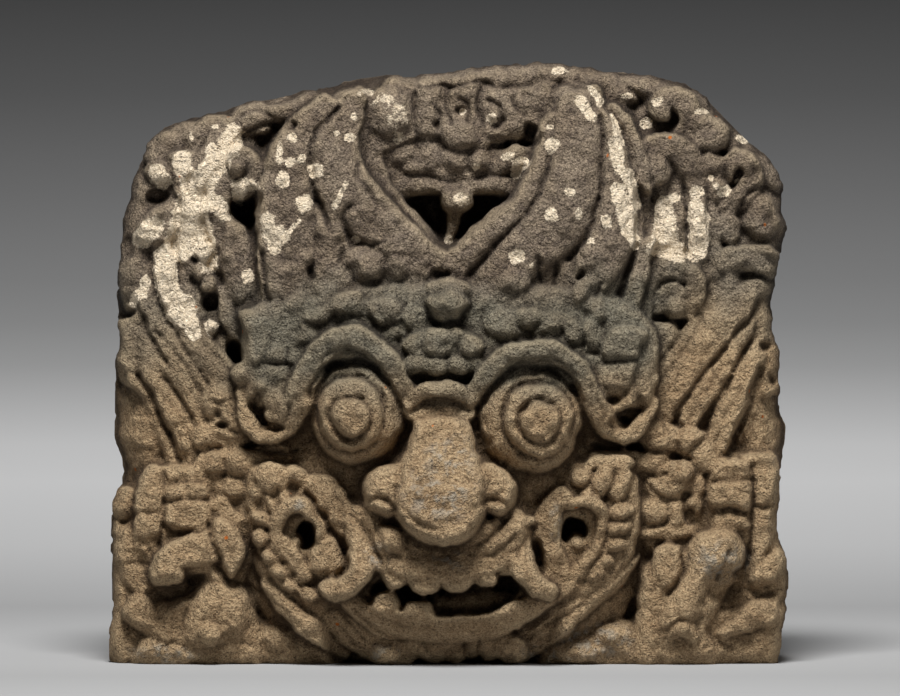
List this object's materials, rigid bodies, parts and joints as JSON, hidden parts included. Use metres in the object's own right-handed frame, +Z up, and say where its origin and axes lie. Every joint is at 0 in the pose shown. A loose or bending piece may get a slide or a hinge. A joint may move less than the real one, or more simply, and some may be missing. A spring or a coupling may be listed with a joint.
{
  "type": "kirtimukha head block",
  "caption": "Carved stone guardian face of a temple doorway: bulging ringed eyes, broad nose, fanged mouth, raised hands and curling hair.",
  "frame": {"origin": "middle of the flat underside, under the centre of the stone's box", "axes": "+Z up from the underside, -Y out of the carved face, +Y into the wall, +X to the viewer's right"},
  "size_m": [0.6944, 0.3902, 0.6131],
  "materials": {
    "andesite": "rough, pitted and weathered, dark above with cream lichen"
  },
  "bodies": {
    "root": {"kirtimukha_block": "andesite"}
  },
  "joints": []
}
